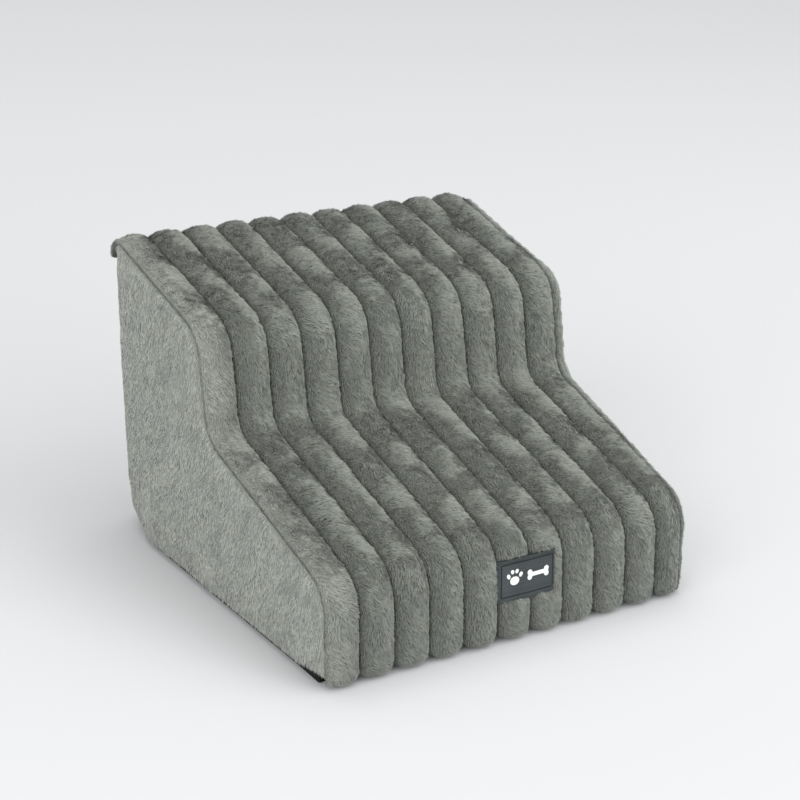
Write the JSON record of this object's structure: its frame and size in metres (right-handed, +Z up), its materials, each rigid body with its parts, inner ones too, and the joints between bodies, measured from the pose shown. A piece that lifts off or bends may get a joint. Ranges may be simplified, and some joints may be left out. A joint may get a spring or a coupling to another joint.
{
  "type": "dog ramp",
  "caption": "Two-step foam ramp stair for a small dog, with a channel-quilted plush cover, a non-slip base and a zipped back.",
  "frame": {"origin": "on the floor, at the middle of the ramp's bounding box", "axes": "+X to the right seen from the front, +Y from the low front to the high back, +Z up"},
  "size_m": [0.397, 0.3997, 0.2785],
  "materials": {
    "plush": "short curly faux-fur plush, warm grey",
    "side_plush": "short brushed plush, light warm grey",
    "batting": "white polyester batting",
    "backing": "thin white non-woven",
    "thread": "grey polyester sewing thread",
    "foam": "firm open-cell polyurethane foam, cream",
    "soft_foam": "soft polyurethane foam, pale",
    "liner": "grey non-woven liner",
    "base_cloth": "black woven base cloth",
    "binding": "black woven binding",
    "grip": "black soft grip dots",
    "zip_tape": "dark grey woven zip tape",
    "zip_coil": "dark grey nylon coil",
    "zip_metal": "dark gunmetal, semi-gloss",
    "label_rubber": "dark slate moulded rubber, matt",
    "label_white": "white moulded rubber, matt"
  },
  "bodies": {
    "ramp": {"foam_core_lower": "foam", "foam_core_upper": "foam", "comfort_foam_layer": "soft_foam", "inner_liner_wrap": "liner", "inner_liner_left": "liner", "inner_liner_right": "liner", "quilt_backing": "backing", "channel_filling_01": "batting", "channel_filling_02": "batting", "channel_filling_03": "batting", "channel_filling_04": "batting", "channel_filling_05": "batting", "channel_filling_06": "batting", "channel_filling_07": "batting", "channel_filling_08": "batting", "channel_filling_09": "batting", "channel_filling_10": "batting", "channel_filling_11": "batting", "channel_filling_12": "batting", "plush_top_panel": "plush", "channel_stitching": "thread", "left_side_panel": "side_plush", "right_side_panel": "side_plush", "back_panel_upper": "side_plush", "back_panel_lower": "side_plush", "base_panel": "base_cloth", "base_binding": "binding", "base_grip_dots": "grip", "zip_tape_upper": "zip_tape", "zip_tape_lower": "zip_tape", "zip_coil_upper": "zip_coil", "zip_coil_lower": "zip_coil", "zip_end_stops": "zip_metal", "label_patch": "label_rubber", "label_emblem": "label_white"},
    "slider": {"zip_slider": "zip_metal"},
    "pull": {"zip_pull": "zip_metal"}
  },
  "joints": [
    {"name": "zip_slide", "type": "slide", "parent": "ramp", "child": "slider", "axis": [1, 0, 0], "range_m": [0, 0.31]},
    {"name": "pull_swing", "type": "hinge", "parent": "slider", "child": "pull", "pos_m": [-0.155, 0.19567, 0.05189], "axis": [1, 0, 0], "range_deg": [0, 165]}
  ]
}
